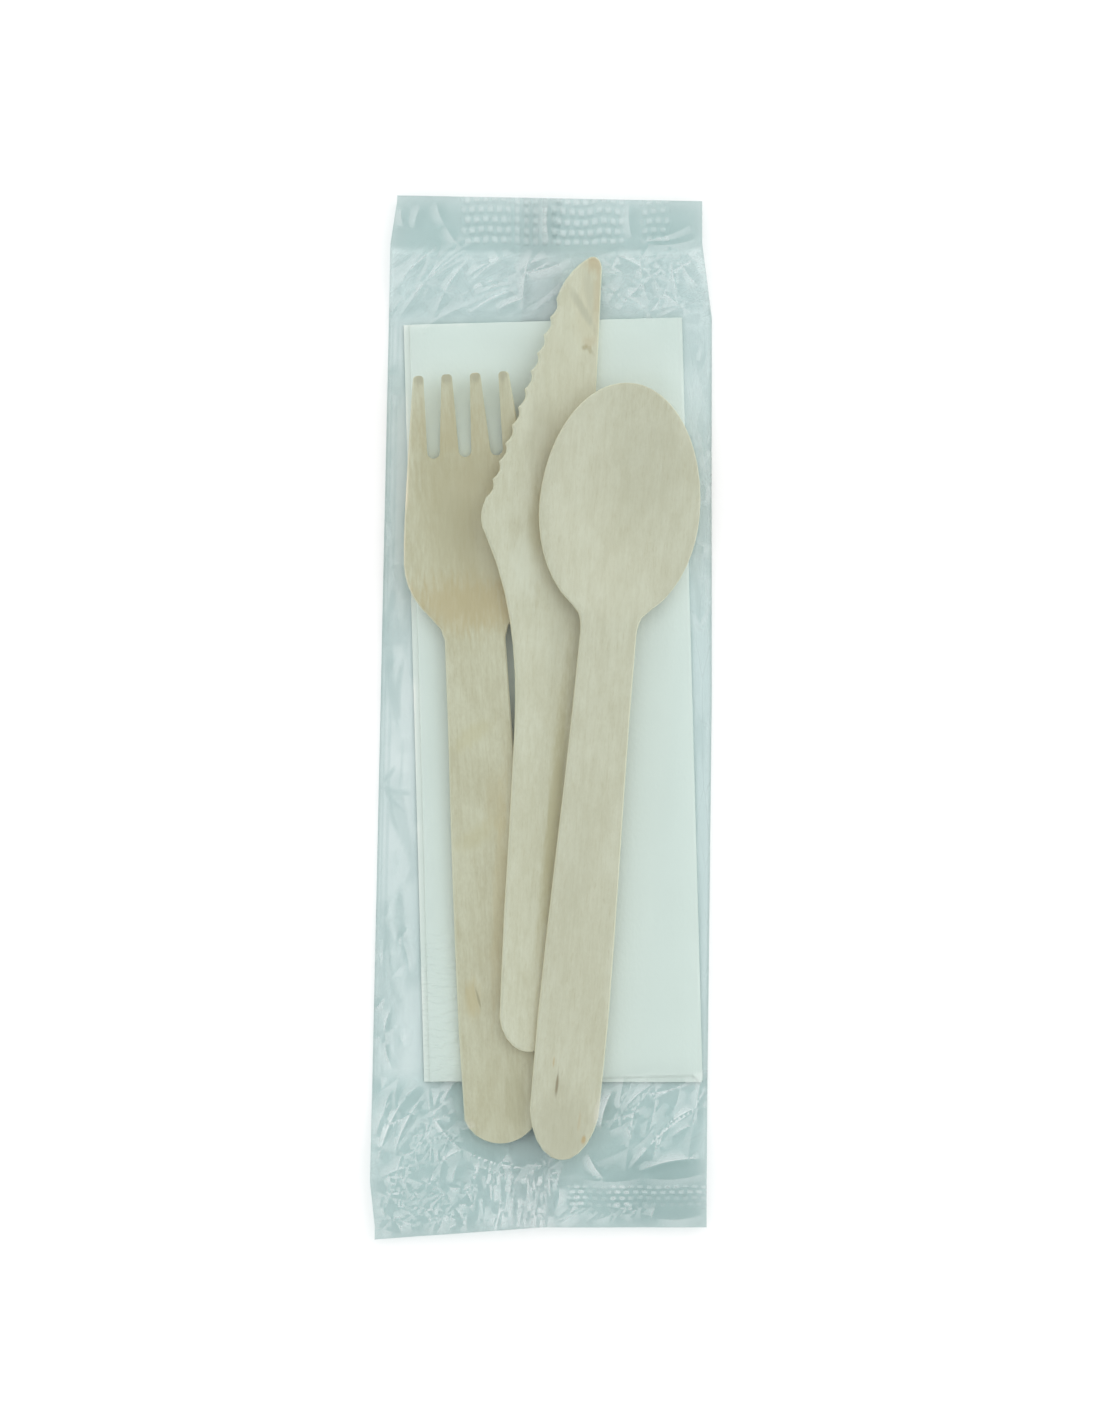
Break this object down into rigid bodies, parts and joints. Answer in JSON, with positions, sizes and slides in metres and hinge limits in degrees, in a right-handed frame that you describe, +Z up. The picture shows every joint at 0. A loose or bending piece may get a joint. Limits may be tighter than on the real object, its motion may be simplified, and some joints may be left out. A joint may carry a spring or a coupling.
{
  "type": "wrapped wooden cutlery set",
  "caption": "Flat pack of disposable wooden cutlery: a fork, a knife and a spoon lying on a folded paper napkin, sealed in a clear film wrapper with crimped ends.",
  "frame": {"origin": "on the surface that the pack lies on, under the middle of the film", "axes": "+Y along the pack from the handle ends to the knife tip, +X across it to the spoon's side, +Z up through the face with the cutlery"},
  "size_m": [0.0706, 0.215, 0.0106],
  "materials": {
    "clear_film": "clear, glossy, creased",
    "tissue": "soft, embossed edge",
    "birch": "smooth, unvarnished veneer"
  },
  "bodies": {
    "root": {"film_wrapper": "clear_film", "napkin": "tissue", "fork": "birch", "knife": "birch", "spoon": "birch"}
  },
  "joints": []
}
